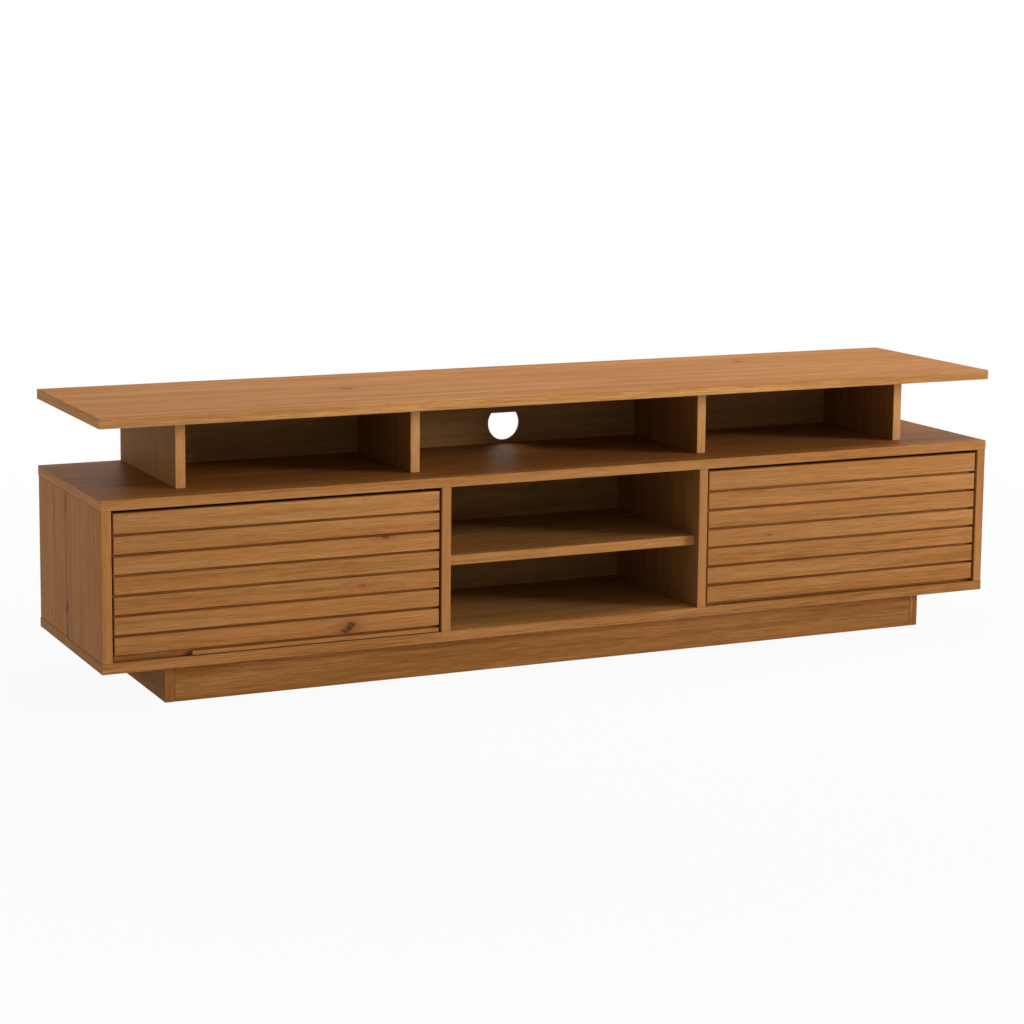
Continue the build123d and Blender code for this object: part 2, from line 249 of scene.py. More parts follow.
def makeMarkGroup(look):
    tree = bpy.data.node_groups.new("grainMark", "ShaderNodeTree")
    for entry, kind in (("Place", "Vector"), ("Centre", "Vector"), ("Reach", "Vector"), ("Bend", "Float")):
        tree.interface.new_socket(entry, in_out="INPUT", socket_type="NodeSocket" + kind)
    for output, kind in (("Place", "Vector"), ("Core", "Float"), ("Halo", "Float")):
        tree.interface.new_socket(output, in_out="OUTPUT", socket_type="NodeSocket" + kind)
    start = tree.nodes.new("NodeGroupInput").outputs
    end = tree.nodes.new("NodeGroupOutput").inputs

    away = vectorCalc(tree, "SUBTRACT", start["Place"], start["Centre"])
    share = vectorCalc(tree, "DIVIDE", away, start["Reach"])
    distance = vectorCalc(tree, "LENGTH", share)
    squared = calc(tree, "MULTIPLY", distance, distance)

    def fading(rate):
        return calc(tree, "EXPONENT", calc(tree, "MULTIPLY", squared, -rate))

    pull = calc(tree, "MULTIPLY", fading(look["bendFade"]), start["Bend"])
    feed(tree, end["Place"], vectorCalc(tree, "SUBTRACT", start["Place"], scaled(tree, away, pull)))
    feed(tree, end["Halo"], fading(look["haloFade"]))

    ragged = look["ragged"]
    fray = calc(tree, "SUBTRACT", speckle(tree, share, ragged), 0.5)
    rim = calc(tree, "ADD", distance, calc(tree, "MULTIPLY", fray, ragged["by"]))
    feed(tree, end["Core"], remap(tree, rim, *look["core"], 1.0, 0.0))
    return tree


grainGroup = makeGrainGroup(oakGrain)
markGroup = makeMarkGroup(markLook)

# How each grain direction turns onto x: on the faces, and on the ends of the board
grainTurns = {
    "X": {"along": (1, 0, 0), "face": (0, 0, 0), "end": (0, 0, -math.pi / 2)},
    "Y": {"along": (0, 1, 0), "face": (0, 0, -math.pi / 2), "end": (0, math.pi / 2, 0)},
    "Z": {"along": (0, 0, 1), "face": (0, math.pi / 2, 0), "end": (0, 0, -math.pi / 2)},
}
squareTo = {"end": 0.9, "edge": 0.6}  # how squarely an end faces along the grain, and an edge along y

# Colours of the decor, from its dark streaks to its light ones
oakDecor = {
    "stops": (
        (0.14, (0.200, 0.074, 0.014)),
        (0.42, (0.335, 0.142, 0.036)),
        (0.58, (0.425, 0.184, 0.054)),
        (0.86, (0.535, 0.254, 0.087)),
        (1.00, (0.720, 0.375, 0.140)),
    ),
    "pore": (0.17, 0.070, 0.024),
    "poreShare": 0.40,
    "halo": (0.27, 0.095, 0.030),
    "haloShare": 0.5,
    "core": (0.028, 0.012, 0.005),
    "tint": (1.0, 0.93, 0.84),
    # The edge lift is partly real banding and partly painted light
    "edgeBandAndLight": 0.06,
    "roughness": (0.52, 0.66),
    "specular": 0.05,
    "bumpStrength": 0.18,
    "bumpDistance": 0.0003,
}

# The bare rear of a thin back: pressed brown fibres
bareBoard = {
    "clumps": {"scale": 160.0, "detail": 4.0, "rough": 0.7},
    "fibres": {"scale": 1400.0, "detail": 2.0, "rough": 0.7},
    "stops": ((0.36, (0.105, 0.058, 0.030)), (0.62, (0.215, 0.130, 0.072))),
}


def hardboard(tree, look):
    spot = place(tree)
    both = calc(tree, "ADD", speckle(tree, spot, look["clumps"]), speckle(tree, spot, look["fibres"]))
    return ramp(tree, calc(tree, "MULTIPLY", both, 0.5), look["stops"])


# Leads the grain round each mark, and keeps what will darken it there
def bendRoundMarks(tree, spot, marks):
    placed = []
    for mark in marks:
        made = tree.nodes.new("ShaderNodeGroup")
        made.node_tree = markGroup
        feed(tree, made.inputs["Place"], spot)
        made.inputs["Centre"].default_value = mark["centre"]
        made.inputs["Reach"].default_value = mark["reach"]
        made.inputs["Bend"].default_value = mark["bend"]
        spot = made.outputs["Place"]
        placed.append({"halo": made.outputs["Halo"], "core": made.outputs["Core"], "dark": mark["dark"]})
    return spot, placed


# All halos come first, so that none covers the core of another mark
def darkenMarks(tree, colour, placed):
    for mark in placed:
        share = calc(tree, "MULTIPLY", mark["halo"], oakDecor["haloShare"] * mark["dark"])
        colour = mixColour(tree, share, colour, opaque(oakDecor["halo"]))
    for mark in placed:
        share = calc(tree, "MULTIPLY", mark["core"], mark["dark"])
        colour = mixColour(tree, share, colour, opaque(oakDecor["core"]))
    return colour


# A board is a little lighter or darker than the next one, calmer in its grain, or of another cast; the
# darker tones and less red casts of the boards inside the niches are painted shade
plainBoard = {
    "tone": 0.0, "edge": oakDecor["edgeBandAndLight"], "banding": 1.0, "calm": 1.0, "paintedNicheCast": (1.0, 1.0, 1.0),
    "roughness": oakDecor["roughness"], "specular": oakDecor["specular"], "marks": (), "bareRear": False,
}


def oakFinish(name, shift, board):
    finish, tree, shader = newFinish(name)
    turn = grainTurns[board["grain"]]
    spot, marks = bendRoundMarks(tree, place(tree), board["marks"])

    way = faceWay(tree)
    alongGrain = calc(tree, "ABSOLUTE", vectorCalc(tree, "DOT_PRODUCT", way, turn["along"]))
    onEnd = calc(tree, "GREATER_THAN", alongGrain, squareTo["end"])
    faceSpot = turned(tree, spot, turn["face"], shift)
    endSpot = turned(tree, spot, turn["end"], shift)
    grain = tree.nodes.new("ShaderNodeGroup")
    grain.node_tree = grainGroup
    feed(tree, grain.inputs["Place"], mixVector(tree, onEnd, faceSpot, endSpot))
    grain.inputs["Banding"].default_value = board["banding"]
    fibre = grain.outputs["Fibre"]
    pore = grain.outputs["Pore"]

    # Front, rear and end edges are banded a little lighter than the faces; the lift is also painted light,
    # strongest on the uprights' front edges, which sit back in the top board's shade
    split = tree.nodes.new("ShaderNodeSeparateXYZ")
    feed(tree, split.inputs["Vector"], way)
    alongY = split.outputs["Y"]
    onEdge = calc(tree, "GREATER_THAN", calc(tree, "ABSOLUTE", alongY), squareTo["edge"])
    onEdge = calc(tree, "MAXIMUM", onEdge, onEnd)
    boardToneAndPaintedLight = calc(tree, "ADD", board["tone"], calc(tree, "MULTIPLY", onEdge, board["edge"]))
    swing = calc(tree, "MULTIPLY", calc(tree, "SUBTRACT", grain.outputs["Tone"], 0.5), board["calm"])
    value = calc(tree, "ADD", calc(tree, "ADD", swing, 0.5), boardToneAndPaintedLight)

    colour = ramp(tree, value, oakDecor["stops"])
    colour = mixColour(tree, grain.outputs["Tint"], colour, opaque(oakDecor["tint"]), "MULTIPLY")
    # Painted shade: a less red cast on the faces of the boards inside the niches, for their dim light
    paintedCastShare = 1.0 if board["bareRear"] else calc(tree, "SUBTRACT", 1.0, onEdge)
    colour = mixColour(tree, paintedCastShare, colour, opaque(board["paintedNicheCast"]), "MULTIPLY")
    poreShare = calc(tree, "MULTIPLY", pore, oakDecor["poreShare"])
    colour = mixColour(tree, poreShare, colour, opaque(oakDecor["pore"]))
    colour = darkenMarks(tree, colour, marks)
    if board["bareRear"]:
        onRear = calc(tree, "GREATER_THAN", alongY, squareTo["edge"])
        colour = mixColour(tree, onRear, colour, hardboard(tree, bareBoard))
    feed(tree, shader.inputs["Base Color"], colour)

    roughness = remap(tree, fibre, *noiseSpread, *board["roughness"], "LINEAR")
    feed(tree, shader.inputs["Roughness"], roughness)
    shader.inputs["Specular IOR Level"].default_value = board["specular"]
    height = calc(tree, "SUBTRACT", fibre, pore)
    normal = bump(tree, height, oakDecor["bumpStrength"], oakDecor["bumpDistance"])
    feed(tree, shader.inputs["Normal"], normal)
    return finish


def dress(piece, finish):
    piece.data.materials.clear()
    piece.data.materials.append(finish)


# Marks are given from a board's lowest corner, in metres
def marksOn(node, marks):
    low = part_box(node)[0]
    return [{**mark, "centre": low + Vector(mark["from"])} for mark in marks]


upright = {"grain": "Z", "banding": 0.35, "calm": 0.65}  # upright grain is plainer than the long boards
# Painted shade: the uprights and partitions inside the niches are darker and less red
nicheShade = {"tone": -0.10, "paintedNicheCast": (0.90, 1.01, 1.05)}
boards = {
    "top_board": {"grain": "X", "tone": 0.03, "edge": 0.28, "banding": 1.5, "marks": (
        {"from": (0.525, 0.204, 0.018), "reach": (0.024, 0.009, 0.02), "bend": 0.7, "dark": 0.85},
        {"from": (1.083, 0.170, 0.018), "reach": (0.012, 0.005, 0.02), "bend": 0.7, "dark": 0.5},
        {"from": (1.402, 0.295, 0.018), "reach": (0.016, 0.009, 0.02), "bend": 0.7, "dark": 0.7},
    )},
    # Painted shade: the carcass top, floor of the upper niche, is darker
    "carcass_top_board": {
        "grain": "X", "tone": -0.14, "edge": 0.29, "roughness": (0.40, 0.50), "specular": 0.022},
    # Painted shade: the bottom board and the shelf take a less red cast inside the niche, and the shelf a
    # darker tone
    "carcass_bottom_board": {"grain": "X", "edge": 0.0, "paintedNicheCast": (1.0, 1.12, 1.12)},
    "centre_shelf": {"grain": "X", "tone": -0.04, "edge": 0.18, "paintedNicheCast": (0.97, 1.15, 1.25)},
    "left_side_panel": {**upright, "tone": 0.05, "edge": 0.09, "calm": 0.95, "marks": (
        {"from": (0.0, 0.219, 0.135), "reach": (0.01, 0.0040, 0.13), "bend": 0.2, "dark": 0.5},
        {"from": (0.0, 0.220, 0.226), "reach": (0.01, 0.0055, 0.024), "bend": 0.3, "dark": 0.8},
        {"from": (0.0, 0.218, 0.066), "reach": (0.01, 0.0080, 0.014), "bend": 0.4, "dark": 0.8},
        {"from": (0.0, 0.217, 0.024), "reach": (0.01, 0.0060, 0.024), "bend": 0.3, "dark": 0.8},
    )},
    "right_side_panel": {**upright, "edge": 0.14},
    "plinth_front_board": {"grain": "X", "tone": -0.05, "edge": 0.0},
    "plinth_back_board": {"grain": "X", "tone": -0.03},
    # Painted shade: the door panels, which show only in the grooves between the slats, are darker
    "left_door_panel": {"grain": "X", "tone": -0.20},
    "right_door_panel": {"grain": "X", "tone": -0.20},
    "left_door_pull_rail": {"grain": "X"},
}
# Painted light: the uprights' front edges, set back in the top board's shade, are lifted most
for side in ("left", "right"):
    boards[f"{side}_partition"] = {**upright, **nicheShade, "edge": 0.24}
    for post in ("end", "middle"):
        boards[f"{side}_{post}_upright"] = {**upright, **nicheShade, "edge": 0.60}
    for member in ("board", "brace"):
        boards[f"plinth_{side}_{member}"] = {"grain": "Y", "tone": -0.12}
# Painted shade: the backs of the niches are darker, the lower ones more, and less red
backShadeByLevel = {"lower": -0.09, "upper": -0.04}
for level, tone in backShadeByLevel.items():
    for bay in ("left", "centre", "right"):
        boards[f"{level}_{bay}_back"] = {
            "grain": "X", "tone": tone, "calm": 0.7, "paintedNicheCast": (0.92, 1.20, 1.50), "bareRear": True}

slatMarks = {
    "left_door_slat_3": (
        {"from": (0.498, 0.0, 0.029), "reach": (0.012, 0.02, 0.004), "bend": 0.5, "dark": 0.6},
    ),
    "left_door_slat_5": (
        {"from": (0.452, 0.0, 0.015), "reach": (0.014, 0.02, 0.004), "bend": 0.6, "dark": 0.5},
    ),
    "left_door_slat_7": (
        {"from": (0.428, 0.0, 0.010), "reach": (0.010, 0.02, 0.008), "bend": 0.4, "dark": 0.8},
        {"from": (0.432, 0.0, 0.0145), "reach": (0.009, 0.02, 0.006), "bend": 0.1, "dark": 0.7},
        {"from": (0.422, 0.0, 0.0065), "reach": (0.011, 0.02, 0.005), "bend": 0.1, "dark": 0.7},
    ),
    "right_door_slat_4": (
        {"from": (0.133, 0.0, 0.014), "reach": (0.014, 0.02, 0.003), "bend": 0.6, "dark": 0.5},
    ),
}
# Painted light and shade: the top slats are lighter and each row down darker, as the light falls from above
slatShadeByRow = {"top": 0.11, "step": -0.022}  # the slats darken a little from the top row down
for node in frame["nodes"]:
    if "_slat_" in node:
        row = int(node.split("_")[-1])
        tone = slatShadeByRow["top"] + slatShadeByRow["step"] * (row - 1)
        boards[node] = {"grain": "X", "tone": tone, "marks": slatMarks.get(node, ())}

boardStep = Vector((1.37, 0.61, 0.43))  # moves the grain on from one board to the next
boardFinish = {}
for count, (node, board) in enumerate(boards.items(), 1):
    settings = {**plainBoard, **board, "marks": marksOn(node, board.get("marks", ()))}
    boardFinish[node] = oakFinish(node + "_oak", boardStep * count, settings)
    dress(frame["nodes"][node], boardFinish[node])
print("oak decor on", len(boards), "boards")

# Hardware finishes: a cloudy colour, with fine grit in the roughness and the bump
metal = {
    "metallic": 1.0, "bumpStrength": 0.15, "bumpDistance": 0.0002,
    "cloud": {"scale": 90.0, "detail": 3.0, "rough": 0.5},
    "grit": {"scale": 900.0, "detail": 2.0, "rough": 0.7},
}
moulded = {
    "metallic": 0.0, "bumpStrength": 0.12, "bumpDistance": 0.0001,
    "cloud": {"scale": 60.0, "detail": 3.0, "rough": 0.6},
    "grit": {"scale": 2600.0, "detail": 1.0, "rough": 0.5},
}
hardwareLooks = {
    "zinc_plate": {
        **metal, "dark": (0.50, 0.51, 0.53), "light": (0.70, 0.70, 0.68), "roughness": (0.28, 0.42)},
    "burnished_steel": {
        **metal, "dark": (0.006, 0.006, 0.006), "light": (0.012, 0.012, 0.011), "roughness": (0.55, 0.70)},
    "nylon_moulding": {
        **moulded, "dark": (0.035, 0.022, 0.015), "light": (0.055, 0.036, 0.025), "roughness": (0.62, 0.76)},
    "ferrite_magnet": {
        **moulded, "dark": (0.020, 0.020, 0.022), "light": (0.060, 0.058, 0.060), "roughness": (0.55, 0.75),
        "cloud": {**moulded["cloud"], "scale": 1200.0}},
    "beech_dowel": {
        **moulded, "dark": (0.50, 0.31, 0.16), "light": (0.62, 0.42, 0.24), "roughness": (0.50, 0.66),
        "cloud": {**moulded["cloud"], "scale": 300.0}},
}


def hardwareFinish(name, look):
    finish, tree, shader = newFinish(name)
    spot = place(tree)
    cloud = speckle(tree, spot, look["cloud"])
    grit = speckle(tree, spot, look["grit"])
    stops = tuple(zip(noiseSpread, (look["dark"], look["light"])))
    feed(tree, shader.inputs["Base Color"], ramp(tree, cloud, stops))
    shader.inputs["Metallic"].default_value = look["metallic"]
    feed(tree, shader.inputs["Roughness"], remap(tree, grit, *noiseSpread, *look["roughness"], "LINEAR"))
    feed(tree, shader.inputs["Normal"], bump(tree, grit, look["bumpStrength"], look["bumpDistance"]))
    return finish


zinc, burnished, nylon, ferrite, beech = (hardwareFinish(name, look) for name, look in hardwareLooks.items())
hardware = {
    "angle_brackets": zinc, "bracket_screws": zinc, "cam_locks": zinc, "cam_bolts": zinc,
    "upright_screws": zinc, "catch_screws": zinc, "left_door_strike": zinc, "right_door_strike": zinc,
    "left_door_pivot_pins": burnished, "right_door_pivot_pins": burnished,
    "left_door_catch": nylon, "right_door_catch": nylon, "pivot_bushes": nylon, "shelf_pegs": nylon,
    "catch_magnets": ferrite, "wood_dowels": beech,
}
for node, finish in hardware.items():
    dress(frame["nodes"][node], finish)
print("hardware finishes on", len(hardware), "nodes")

# Modelling helpers: a piece starts from a primitive, and its place ends up in its mesh
up = Vector((0, 0, 1))
down = -up
rearward = Vector((0, 1, 0))


def deselect():
    bpy.ops.object.select_all(action="DESELECT")


def selectOnly(piece):
    deselect()
    bpy.context.view_layer.objects.active = piece
    piece.select_set(True)


def startBlock(name, low, high):
    deselect()
    low, high = Vector(low), Vector(high)
    bpy.ops.mesh.primitive_cube_add(size=1.0, location=(low + high) / 2)
    piece = bpy.context.object
    piece.name = name
    piece.scale = high - low
    bpy.ops.object.transform_apply(location=True, rotation=True, scale=True)
    return piece


def startRod(name, start, way, radius, length, sides=32):
    deselect()
    way = Vector(way).normalized()
    turn = way.to_track_quat("Z", "Y").to_euler()
    middle = Vector(start) + way * length / 2
    bpy.ops.mesh.primitive_cylinder_add(
        vertices=sides, radius=radius, depth=length, location=middle, rotation=turn)
    piece = bpy.context.object
    piece.name = name
    bpy.ops.object.transform_apply(location=True, rotation=True, scale=True)
    return piece


def openForEdit(piece, kind):
    selectOnly(piece)
    bpy.ops.object.mode_set(mode="EDIT")
    bpy.ops.mesh.select_mode(type=kind)
    bpy.ops.mesh.select_all(action="DESELECT")
    bpy.ops.object.mode_set(mode="OBJECT")


# Goes into edit mode with the faces, or the edges, that pass the test
def pickFaces(piece, test):
    openForEdit(piece, "FACE")
    for face in piece.data.polygons:
        face.select = test(face.center, face.normal)
    bpy.ops.object.mode_set(mode="EDIT")


def pickEdges(piece, test):
    openForEdit(piece, "EDGE")
    corners = piece.data.vertices
    for edge in piece.data.edges:
        edge.select = test(*(corners[index].co for index in edge.vertices))
    bpy.ops.object.mode_set(mode="EDIT")


def backToObject():
    bpy.ops.object.mode_set(mode="OBJECT")


def near(first, second):
    return abs(first - second) < 1e-5


def points(way, wanted):
    return way.dot(wanted) > 0.99


# A test for edges that lie at one value of x, y or z
def edgesAt(axis, value):
    index = "xyz".index(axis)
    return lambda first, second: near(first[index], value) and near(second[index], value)


def roundEdges(piece, test, radius, steps):
    pickEdges(piece, test)
    bpy.ops.mesh.bevel(offset=radius, segments=steps, affect="EDGES")
    backToObject()


def extrude(move):
    bpy.ops.mesh.extrude_region_move(TRANSFORM_OT_translate={"value": move})


def carve(piece, tool, how="DIFFERENCE"):
    selectOnly(piece)
    cutting = piece.modifiers.new("carve", "BOOLEAN")
    cutting.operation = how
    cutting.object = tool
    bpy.ops.object.modifier_apply(modifier=cutting.name)
    bpy.data.objects.remove(tool)


# A cross for the driver, cut into a head that faces up
def carveCross(piece, shape, bottom, top):
    longHalf, thinHalf = shape["crossLong"] / 2, shape["crossWide"] / 2
    for halfX, halfY in ((longHalf, thinHalf), (thinHalf, longHalf)):
        carve(piece, startBlock("cross", (-halfX, -halfY, bottom), (halfX, halfY, top)))


def smooth(piece, degrees=35.0):
    selectOnly(piece)
    bpy.ops.object.shade_smooth_by_angle(angle=math.radians(degrees))


def copied(piece, name, move):
    twin = piece.copy()
    twin.data = piece.data.copy()
    twin.name = name
    twin.data.transform(move)
    bpy.context.collection.objects.link(twin)
    return twin


# A finished piece takes the given finish and the body of the node that it stands for, and that node is
# hidden
bodyOf = {node: body for body, nodes in frame["record"]["behaviour"]["bodies"].items() for node in nodes}


def standFor(piece, node, finish):
    dress(piece, finish)
    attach(piece, bodyOf[node])
    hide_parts(node)


# Boxes of the separate solids in one node, found by the corners that their faces share
def solidBoxes(node):
    mesh = frame["nodes"][node].data
    spots = [tuple(round(value, 5) for value in corner.co) for corner in mesh.vertices]
    leader = {spot: spot for spot in spots}

    def head(spot):
        while leader[spot] != spot:
            leader[spot] = leader[leader[spot]]
            spot = leader[spot]
        return spot

    for face in mesh.polygons:
        first = head(spots[face.vertices[0]])
        for index in face.vertices[1:]:
            leader[head(spots[index])] = first
    solids = {}
    for spot in leader:
        solids.setdefault(head(spot), []).append(spot)
    boxes = []
    for corners in solids.values():
        low = Vector([min(values) for values in zip(*corners)])
        high = Vector([max(values) for values in zip(*corners)])
        boxes.append((low, high))
    return sorted(boxes, key=lambda box: tuple(box[0]))


def sign(value):
    return 1.0 if value > 0 else -1.0


# A move that stands a piece, modelled up +z at the origin, at a spot facing a way
def facing(spot, way):
    return Matrix.Translation(spot) @ Vector(way).to_track_quat("Z", "Y").to_matrix().to_4x4()


# Door slats and the pull rail, with softly rounded front edges
slatShape = {"round": 0.0014, "steps": 4}


def makeSlat(node, shape):
    low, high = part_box(node)
    slat = startBlock(node + "_rounded", low, high)
    roundEdges(slat, edgesAt("y", low.y), shape["round"], shape["steps"])
    smooth(slat)
    standFor(slat, node, boardFinish[node])


slatNodes = [node for node in frame["nodes"] if "_slat_" in node or node.endswith("pull_rail")]
for node in slatNodes:
    makeSlat(node, slatShape)
print("slats rounded:", len(slatNodes))

# Angle brackets: bent strip with round ends, two holes and a rib in the corner
bracketShape = {
    "sheet": 0.0020, "endRound": 0.0045, "endSteps": 5, "bend": 0.0014, "bendSteps": 4,
    "holeAt": 0.0200, "hole": 0.0021, "rib": 0.0021, "ribReach": 0.0085,
}


def makeBracket(leg, wide, shape):
    sheet = shape["sheet"]
    half = wide / 2
    bracket = startBlock("angle_bracket", (0, -half, -sheet), (leg, half, 0))
    pickFaces(bracket, lambda centre, way: True)
    bpy.ops.mesh.bisect(plane_co=(sheet, 0, 0), plane_no=(1, 0, 0))
    backToObject()
    pickFaces(bracket, lambda centre, way: points(way, down) and centre.x < sheet)
    extrude((0, 0, sheet - leg))
    backToObject()

    def onEnd(first, second):
        farOut = near(first.x, leg) and near(second.x, leg)
        farDown = near(first.z, -leg) and near(second.z, -leg)
        return (farOut or farDown) and near(first.y, second.y)

    roundEdges(bracket, onEnd, shape["endRound"], shape["endSteps"])

    def onBend(first, second):
        outer = all(near(corner.x, 0) and near(corner.z, 0) for corner in (first, second))
        inner = all(near(corner.x, sheet) and near(corner.z, -sheet) for corner in (first, second))
        return (outer or inner) and not near(first.y, second.y)

    roundEdges(bracket, onBend, shape["bend"], shape["bendSteps"])
    reach = shape["ribReach"]
    ribStart = Vector((sheet / 2, 0, -sheet - reach))
    ribWay = Vector((reach + sheet / 2, 0, reach + sheet / 2))
    carve(bracket, startRod("rib", ribStart, ribWay, shape["rib"], ribWay.length), "UNION")
    carve(bracket, startRod("hole", (shape["holeAt"], 0, -2 * sheet), up, shape["hole"], 3 * sheet))
    carve(bracket, startRod("hole", (-sheet, 0, -shape["holeAt"]), (1, 0, 0), shape["hole"], 3 * sheet))
    smooth(bracket)
    return bracket


bracketBoxes = solidBoxes("angle_brackets")
bracketSize = bracketBoxes[0][1] - bracketBoxes[0][0]
bracketModel = makeBracket(bracketSize.z, min(bracketSize.x, bracketSize.y), bracketShape)
for count, (low, high) in enumerate(bracketBoxes, 1):
    middle = (low + high) / 2
    alongX = high.x - low.x > high.y - low.y
    out = Vector((-sign(middle.x), 0, 0)) if alongX else Vector((0, -sign(middle.y), 0))
    corner = middle - out * bracketSize.z / 2
    corner.z = high.z
    move = Matrix.Translation(corner) @ Matrix.Rotation(math.atan2(out.y, out.x), 4, "Z")
    standFor(copied(bracketModel, f"angle_bracket_{count}", move), "angle_brackets", zinc)
bpy.data.objects.remove(bracketModel)
print("angle brackets:", len(bracketBoxes))

# Pan-head screws with a cross recess
screwShape = {
    "head": 0.0018, "shank": 0.0019, "point": 0.0030, "tipShare": 0.2, "dome": 0.0013, "domeSteps": 5,
    "crossLong": 0.0044, "crossWide": 0.0009, "crossDeep": 0.0009,
}


def makeScrew(headRadius, length, shape):
    screw = startRod("pan_head_screw", (0, 0, 0), up, headRadius, shape["head"])
    pickFaces(screw, lambda centre, way: points(way, down))
    bpy.ops.mesh.inset(thickness=headRadius - shape["shank"])
    straight = length - shape["head"] - shape["point"]
    extrude((0, 0, -straight))
    extrude((0, 0, -shape["point"]))
    bpy.ops.transform.resize(value=(shape["tipShare"], shape["tipShare"], 1.0))
    backToObject()
    roundEdges(screw, edgesAt("z", shape["head"]), shape["dome"], shape["domeSteps"])
    carveCross(screw, shape, shape["head"] - shape["crossDeep"], 2 * shape["head"])
    smooth(screw)
    return screw


# Heads of upright screws hang down, the others face the middle of the stand
def screwWay(low, high):
    size = high - low
    middle = (low + high) / 2
    if size.z > max(size.x, size.y):
        return down
    if size.x > size.y:
        return Vector((-sign(middle.x), 0, 0))
    return Vector((0, -sign(middle.y), 0))


firstLow, firstHigh = solidBoxes("bracket_screws")[0]
screwSize = sorted(firstHigh - firstLow)
screwModel = makeScrew(screwSize[0] / 2, screwSize[2], screwShape)
for node in ("bracket_screws", "catch_screws"):
    for count, (low, high) in enumerate(solidBoxes(node), 1):
        way = screwWay(low, high)
        seat = (low + high) / 2 + way * (screwSize[2] / 2 - screwShape["head"])
        standFor(copied(screwModel, f"{node}_{count}", facing(seat, way)), node, zinc)
bpy.data.objects.remove(screwModel)
print("pan-head screws in place")

# Cam locks: a rimmed disc with a cross for the driver and a notch that shows its turn
camShape = {
    "sides": 48, "rim": 0.0005, "rimSteps": 3, "lip": 0.0013, "dish": 0.0006,
    "crossLong": 0.0082, "crossWide": 0.0016, "crossDeep": 0.0022, "notch": 0.0011, "notchSides": 3,
}


def makeCam(radius, deep, shape):
    cam = startRod("cam_lock", (0, 0, -deep), up, radius, deep, shape["sides"])
    roundEdges(cam, edgesAt("z", 0), shape["rim"], shape["rimSteps"])
    pickFaces(cam, lambda centre, way: points(way, up))
    bpy.ops.mesh.inset(thickness=shape["lip"])
    extrude((0, 0, -shape["dish"]))
    backToObject()
    carveCross(cam, shape, -shape["crossDeep"], deep)
    notchAt = (radius - shape["lip"] / 2, 0, -shape["dish"])
    carve(cam, startRod("notch", notchAt, up, shape["notch"], deep, shape["notchSides"]))
    smooth(cam)
    return cam


camBoxes = solidBoxes("cam_locks")
camSize = camBoxes[0][1] - camBoxes[0][0]
camModel = makeCam(camSize.z / 2, camSize.x, camShape)
quarterWidth = (cadBox[1][0] - cadBox[0][0]) / 4
for count, (low, high) in enumerate(camBoxes, 1):
    middle = (low + high) / 2
    outward = sign(middle.x)
    way = Vector((-outward if abs(middle.x) > quarterWidth else outward, 0, 0))
    seat = middle + way * camSize.x / 2
    standFor(copied(camModel, f"cam_lock_{count}", facing(seat, way)), "cam_locks", zinc)
bpy.data.objects.remove(camModel)
print("cam locks:", len(camBoxes))

# Magnetic catches: ribbed case with a pocket for the magnet and wells for the screws
catchShape = {"round": 0.0022, "steps": 4, "well": 0.0041, "ribs": 5, "ribWide": 0.0012, "ribReach": 0.4}


def makeCatch(node, shape):
    low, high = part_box(node)
    size = high - low
    side = sign(low.x)
    freeX = low.x if side > 0 else high.x
    case = startBlock(node + "_case", low, high)
    roundEdges(case, edgesAt("x", freeX), shape["round"], shape["steps"])
    for rib in range(shape["ribs"]):
        z = low.z + size.z * (rib + 1) / (shape["ribs"] + 1)
        grooveAt = (freeX, low.y + shape["round"], z)
        carve(case, startRod("groove", grooveAt, rearward, shape["ribWide"] / 2, size.y * shape["ribReach"]))
    for screwLow, screwHigh in solidBoxes("catch_screws"):
        middle = (screwLow + screwHigh) / 2
        if sign(middle.x) == side:
            wellAt = ((low.x + high.x) / 2, middle.y, middle.z)
            carve(case, startRod("well", wellAt, (-side, 0, 0), shape["well"], size.x))
    for magnetLow, magnetHigh in solidBoxes("catch_magnets"):
        if sign(magnetLow.x) == side:
            carve(case, startBlock("pocket", magnetLow - rearward * size.y, magnetHigh))
    smooth(case)
    standFor(case, node, nylon)


for node in ("left_door_catch", "right_door_catch"):
    makeCatch(node, catchShape)

# Strikes: round-cornered plates on the backs of the doors, each dimpled over its spike
strikeShape = {
    "plate": 0.0015, "corner": 0.0030, "cornerSteps": 5, "rim": 0.0004, "rimSteps": 2,
    "dimple": 0.0024, "spike": 0.0015,
}


def makeStrike(node, shape):
    low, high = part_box(node)
    middle = (low + high) / 2
    plateFront = high.y - shape["plate"]
    strike = startBlock(node + "_plate", (low.x, plateFront, low.z), high)

    def onCorner(first, second):
        return not near(first.y, second.y)

    roundEdges(strike, onCorner, shape["corner"], shape["cornerSteps"])
    roundEdges(strike, edgesAt("y", high.y), shape["rim"], shape["rimSteps"])
    dimpleAt = (middle.x, high.y - shape["plate"] / 2, middle.z)
    carve(strike, startRod("dimple", dimpleAt, rearward, shape["dimple"], shape["plate"]))
    spikeAt = (middle.x, low.y, middle.z)
    spikeLength = plateFront - low.y + shape["plate"] / 4
    carve(strike, startRod("spike", spikeAt, rearward, shape["spike"], spikeLength), "UNION")
    smooth(strike)
    standFor(strike, node, zinc)


for node in ("left_door_strike", "right_door_strike"):
    makeStrike(node, strikeShape)
print("catches and strikes in place")

# Shelf pegs: a rounded block on a pin
pegShape = {"round": 0.0016, "steps": 4, "pin": 0.0025}


